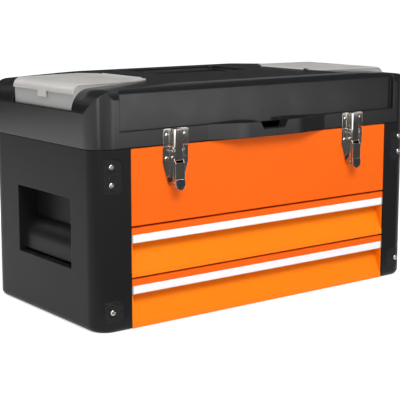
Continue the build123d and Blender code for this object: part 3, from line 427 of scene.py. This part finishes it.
def bright_plate(name, colour, roughness, scratch):
    """Plated steel with fine scratches and a slight haze."""
    material, tree, shader = new_finish(name)
    shader.inputs["Metallic"].default_value = 1.0
    edges = place(tree, rounded_edges(), Radius=0.0004)
    dust = place(tree, settled_dust(), Scale=60.0)
    place_on = add(tree, "ShaderNodeTexCoord")
    stretch = add(tree, "ShaderNodeMapping")
    stretch.inputs["Scale"].default_value = (1400.0, 1400.0, 90.0)
    join(tree, place_on.outputs["Object"], stretch.inputs["Vector"])
    lines = add(tree, "ShaderNodeTexNoise", Scale=1.0, Detail=2.0, Roughness=0.5)
    join(tree, stretch.outputs["Vector"], lines.inputs["Vector"])
    dull = tuple(c * 0.86 for c in colour)
    tone = blend_colour(tree, dust.outputs["Smudge"], colour, dull)
    join(tree, tone, shader.inputs["Base Color"])
    fine = math_node(tree, "MULTIPLY", lines.outputs["Fac"], scratch)
    rough = math_node(tree, "ADD", fine, math_node(tree, "MULTIPLY", dust.outputs["Smudge"], 0.02))
    join(tree, math_node(tree, "ADD", rough, roughness), shader.inputs["Roughness"])
    bump = add(tree, "ShaderNodeBump", Strength=0.06, Distance=0.000002)
    join(tree, lines.outputs["Fac"], bump.inputs["Height"])
    join(tree, edges.outputs["Normal"], bump.inputs["Normal"])
    join(tree, bump.outputs["Normal"], shader.inputs["Normal"])
    return material


def zinc_plate(name, colour):
    """Zinc-plated steel with a soft spangle."""
    material, tree, shader = new_finish(name)
    shader.inputs["Metallic"].default_value = 1.0
    edges = place(tree, rounded_edges(), Radius=0.0005)
    place_on = add(tree, "ShaderNodeTexCoord")
    spangle = add(tree, "ShaderNodeTexVoronoi", Scale=260.0, Randomness=1.0)
    haze = add(tree, "ShaderNodeTexNoise", Scale=45.0, Detail=4.0)
    join(tree, place_on.outputs["Object"], spangle.inputs["Vector"])
    join(tree, place_on.outputs["Object"], haze.inputs["Vector"])
    grey = add(tree, "ShaderNodeSeparateXYZ")
    join(tree, spangle.outputs["Color"], grey.inputs["Vector"])
    dark = tuple(c * 0.72 for c in colour)
    tone = blend_colour(tree, grey.outputs["X"], colour, dark)
    join(tree, tone, shader.inputs["Base Color"])
    rough = math_node(tree, "MULTIPLY", span(tree, haze.outputs["Fac"], 0.3, 0.7), 0.18)
    join(tree, math_node(tree, "ADD", rough, 0.26), shader.inputs["Roughness"])
    join(tree, edges.outputs["Normal"], shader.inputs["Normal"])
    return material


def dress(material, *names):
    """Give CAD nodes a finish."""
    for name in names:
        data = NODES[name].data
        data.materials.clear()
        data.materials.append(material)


def both(*names):
    return [name + side for name in names for side in ("_left", "_right")]


# ---- Operators
class PaintCabinet(bpy.types.Operator):
    """Powder-coat the steel shell, panels and drawers"""
    bl_idname = "tool_box.paint_cabinet"
    bl_label = "Paint the cabinet and drawers"

    def execute(self, context):
        settings = context.scene.tool_box_paint
        coat = powder_coat("orange powder coat", tuple(settings.orange), settings.peel_depth)
        # The drawer fronts' coat carries the painted light on their sloped faces.
        front = powder_coat("drawer coat with painted slope light", tuple(settings.orange), settings.peel_depth,
                            tuple(settings.painted_light_orange))
        dress(coat, "cabinet_shell", "back_panel", "front_panel", "compartment_floor",
              "upper_drawer_tray", "lower_drawer_tray")
        dress(front, "upper_drawer_front", "lower_drawer_front")
        return {"FINISHED"}


class GrainMouldings(bpy.types.Operator):
    """Finish the casings, the lid and the carry handle as grained black plastic"""
    bl_idname = "tool_box.grain_mouldings"
    bl_label = "Grain the mouldings"

    def execute(self, context):
        settings = context.scene.tool_box_plastic
        black = tuple(settings.black)
        grain = settings.grain_size
        darker = tuple(c * 0.8 for c in black)
        casing = moulded_plastic("casing plastic", black, grain, roughness=0.40,
                                 grain_depth=0.00004, gloss=0.10, pads=True)
        lid = moulded_plastic("lid plastic", black, grain * 1.2, roughness=0.22,
                              grain_depth=0.000003, gloss=0.40)
        grip = moulded_plastic("handle plastic", darker, grain * 0.8, roughness=0.50,
                               grain_depth=0.00008, gloss=0.2)
        dress(casing, *both("side_casing"))
        dress(lid, "lid_shell")
        dress(grip, "carry_handle")
        return {"FINISHED"}


class FinishRails(bpy.types.Operator):
    """Finish the drawers' white pull rails and their end caps, whose grey is painted shade at the rails'
    ends
    """
    bl_idname = "tool_box.finish_rails"
    bl_label = "Finish the pull rails"

    def execute(self, context):
        settings = context.scene.tool_box_plastic
        white = glossy_plastic("rail white", tuple(settings.rail_white), roughness=0.28, haze=0.02)
        # The caps' grey is painted shade at the rails' ends.
        grey = glossy_plastic("cap painted shade", tuple(settings.cap_grey), roughness=0.45)
        dress(white, "upper_drawer_rail", "lower_drawer_rail")
        dress(grey, "upper_rail_caps", "lower_rail_caps")
        return {"FINISHED"}


class FinishOrganisers(bpy.types.Operator):
    """Finish the organiser bins and their clouded covers"""
    bl_idname = "tool_box.finish_organisers"
    bl_label = "Finish the organisers"

    def execute(self, context):
        settings = context.scene.tool_box_plastic
        cover = glossy_plastic("clouded cover", tuple(settings.cover_haze), roughness=0.30,
                               transmission=0.15, haze=0.06)
        bins = glossy_plastic("bin grey", tuple(settings.bin_grey), roughness=0.36)
        dress(cover, *both("organiser_cover"))
        dress(bins, *both("organiser_tray"))
        return {"FINISHED"}


class PlateMetal(bpy.types.Operator):
    """Plate the latches, screws, rivets, hinge, runners and pins"""
    bl_idname = "tool_box.plate_metal"
    bl_label = "Plate the metal pieces"

    def execute(self, context):
        settings = context.scene.tool_box_metal
        chrome = bright_plate("latch chrome", tuple(settings.chrome), roughness=0.015, scratch=0.03)
        zinc = zinc_plate("zinc plate", tuple(settings.zinc))
        dress(chrome, *both("latch_base", "latch_lever", "latch_hook", "latch_keeper"))
        dress(chrome, *both("lever_pin", "hook_pin"), "base_rivets", "keeper_rivets", "casing_screws")
        dress(zinc, "cabinet_hinge_leaf", "lid_hinge_leaf", "lid_hinge_pin")
        dress(zinc, *both("cover_pin"), "handle_pins")
        for level in ("upper", "lower"):
            dress(zinc, *both(level + "_outer_runner", level + "_inner_runner"))
        return {"FINISHED"}


class SetStudio(bpy.types.Operator):
    """Set the pale floor, the soft lamps and the camera"""
    bl_idname = "tool_box.set_studio"
    bl_label = "Set the studio"

    def execute(self, context):
        settings = context.scene.tool_box_studio
        scene = context.scene
        lay_floor(tuple(settings.floor))
        light_world(scene, settings.ambient)
        for name, spot, width, height, power in LAMPS:
            soft_lamp(name, spot, width, height, power * settings.lamps)
        for name, low, high, shade, glow in CARDS:
            reflection_card(name, Vector(low), Vector(high), shade, glow)
        set_camera(scene, settings)
        scene.view_settings.view_transform = "Standard"
        return {"FINISHED"}


def lay_floor(colour):
    """Wide matt floor that stays pale to the horizon."""
    mesh = bpy.data.meshes.new("studio_floor")
    shape = bmesh.new()
    bmesh.ops.create_grid(shape, x_segments=1, y_segments=1, size=FLOOR_HALF)
    shape.to_mesh(mesh)
    shape.free()
    floor = bpy.data.objects.new("studio_floor", mesh)
    bpy.context.scene.collection.objects.link(floor)
    material, tree, shader = new_finish("studio floor")
    shader.inputs["Roughness"].default_value = 0.9
    shader.inputs["Specular IOR Level"].default_value = 0.1
    place_on = add(tree, "ShaderNodeTexCoord")
    noise = add(tree, "ShaderNodeTexNoise", Scale=1.5, Detail=3.0)
    join(tree, place_on.outputs["Object"], noise.inputs["Vector"])
    tone = blend_colour(tree, noise.outputs["Fac"], colour, tuple(c * 0.99 for c in colour))
    join(tree, tone, shader.inputs["Base Color"])
    glow = add(tree, "ShaderNodeEmission", Color=(1.0, 1.0, 1.0, 1.0), Strength=FLOOR_GLOW)
    dark = add(tree, "ShaderNodeEmission", Strength=0.0)
    lift = add(tree, "ShaderNodeMixShader")
    total = add(tree, "ShaderNodeAddShader")
    join(tree, seen_rays(tree), lift.inputs["Fac"])
    join(tree, dark.outputs["Emission"], lift.inputs[1])
    join(tree, glow.outputs["Emission"], lift.inputs[2])
    join(tree, shader.outputs["BSDF"], total.inputs[0])
    join(tree, lift.outputs["Shader"], total.inputs[1])
    join(tree, total.outputs["Shader"], tree.nodes["Material Output"].inputs["Surface"])
    mesh.materials.append(material)


def seen_rays(tree):
    """One for what the camera sees directly, in a mirror or through clear plastic."""
    path = add(tree, "ShaderNodeLightPath")
    direct = math_node(tree, "MAXIMUM", path.outputs["Is Camera Ray"], path.outputs["Is Glossy Ray"])
    return math_node(tree, "MAXIMUM", direct, path.outputs["Is Transmission Ray"])


def reflection_card(name, low, high, shade, glow):
    """Flat studio card between two corners that only shows in reflections."""
    mesh = bpy.data.meshes.new(name)
    shape = bmesh.new()
    bmesh.ops.create_grid(shape, x_segments=1, y_segments=1, size=0.5)
    size = high - low
    if size.y == 0.0:
        bmesh.ops.rotate(shape, matrix=Matrix.Rotation(math.pi / 2, 3, "X"), verts=shape.verts)
    if size.x == 0.0:
        bmesh.ops.rotate(shape, matrix=Matrix.Rotation(math.pi / 2, 3, "Y"), verts=shape.verts)
    bmesh.ops.scale(shape, vec=[length or 1.0 for length in size], verts=shape.verts)
    bmesh.ops.translate(shape, vec=(low + high) / 2, verts=shape.verts)
    shape.to_mesh(mesh)
    shape.free()
    card = bpy.data.objects.new(name, mesh)
    bpy.context.scene.collection.objects.link(card)
    material, tree, shader = new_finish(name)
    place_on = add(tree, "ShaderNodeTexCoord")
    noise = add(tree, "ShaderNodeTexNoise", Scale=3.0)
    join(tree, place_on.outputs["Object"], noise.inputs["Vector"])
    tone = blend_colour(tree, noise.outputs["Fac"], shade, tuple(c * 1.3 for c in shade))
    join(tree, tone, shader.inputs["Base Color"])
    shader.inputs["Roughness"].default_value = 1.0
    shader.inputs["Emission Color"].default_value = (1.0, 1.0, 1.0, 1.0)
    shader.inputs["Emission Strength"].default_value = glow
    mesh.materials.append(material)
    for kind in ("visible_camera", "visible_diffuse", "visible_shadow", "visible_transmission"):
        setattr(card, kind, False)


def light_world(scene, ambient):
    """Even soft light, with white where the camera looks past the floor."""
    world = bpy.data.worlds.new("studio world")
    world.use_nodes = True
    scene.world = world
    tree = world.node_tree
    tree.nodes.clear()
    out = add(tree, "ShaderNodeOutputWorld")
    even = add(tree, "ShaderNodeBackground", Color=(1.0, 1.0, 1.0, 1.0), Strength=ambient)
    white = add(tree, "ShaderNodeBackground", Color=(1.0, 1.0, 1.0, 1.0), Strength=1.0)
    pick = add(tree, "ShaderNodeMixShader")
    join(tree, seen_rays(tree), pick.inputs["Fac"])
    join(tree, even.outputs["Background"], pick.inputs[1])
    join(tree, white.outputs["Background"], pick.inputs[2])
    join(tree, pick.outputs["Shader"], out.inputs["Surface"])


def soft_lamp(name, spot, width, height, power):
    """Broad rectangular lamp that looks at the middle of the box."""
    lamp = bpy.data.lights.new(name, "AREA")
    lamp.shape = "RECTANGLE"
    lamp.size = width
    lamp.size_y = height
    lamp.energy = power
    holder = bpy.data.objects.new(name, lamp)
    holder.location = spot
    way = Vector(LAMP_AIM) - Vector(spot)
    holder.rotation_euler = way.to_track_quat("-Z", "Y").to_euler()
    bpy.context.scene.collection.objects.link(holder)


def set_camera(scene, settings):
    """Camera at the height and turn of the photograph."""
    data = bpy.data.cameras.new("studio camera")
    camera = bpy.data.objects.new("studio camera", data)
    scene.collection.objects.link(camera)
    data.sensor_width = 36.0
    data.lens = settings.lens
    data.shift_y = settings.rise
    data.clip_start, data.clip_end = 0.05, 100.0
    camera.location = settings.eye
    camera.rotation_euler = Euler((math.pi / 2 - settings.dip, 0.0, -settings.turn))
    scene.camera = camera


# ---- Panel
class ToolBoxPanel(bpy.types.Panel):
    """Steps and settings of the tool box"""
    bl_idname = "VIEW3D_PT_tool_box"
    bl_label = "Tool box"
    bl_space_type = "VIEW_3D"
    bl_region_type = "UI"
    bl_category = "Tool box"

    def draw(self, context):
        for step in STEPS:
            self.layout.operator(step.bl_idname)
        for name, group in SETTINGS:
            box = self.layout.box()
            holder = getattr(context.scene, name)
            for key in group.__annotations__:
                box.prop(holder, key)


STEPS = (PaintCabinet, GrainMouldings, FinishRails, FinishOrganisers, PlateMetal, SetStudio)


def register():
    for name, group in SETTINGS:
        bpy.utils.register_class(group)
        setattr(bpy.types.Scene, name, bpy.props.PointerProperty(type=group))
    for step in STEPS:
        bpy.utils.register_class(step)
    bpy.utils.register_class(ToolBoxPanel)


def unregister():
    bpy.utils.unregister_class(ToolBoxPanel)
    for step in reversed(STEPS):
        bpy.utils.unregister_class(step)
    for name, group in reversed(SETTINGS):
        delattr(bpy.types.Scene, name)
        bpy.utils.unregister_class(group)


def main():
    register()
    for step in STEPS:
        area, name = step.bl_idname.split(".")
        getattr(getattr(bpy.ops, area), name)()
    bpy.context.view_layer.update()


if __name__ == "__main__":
    main()
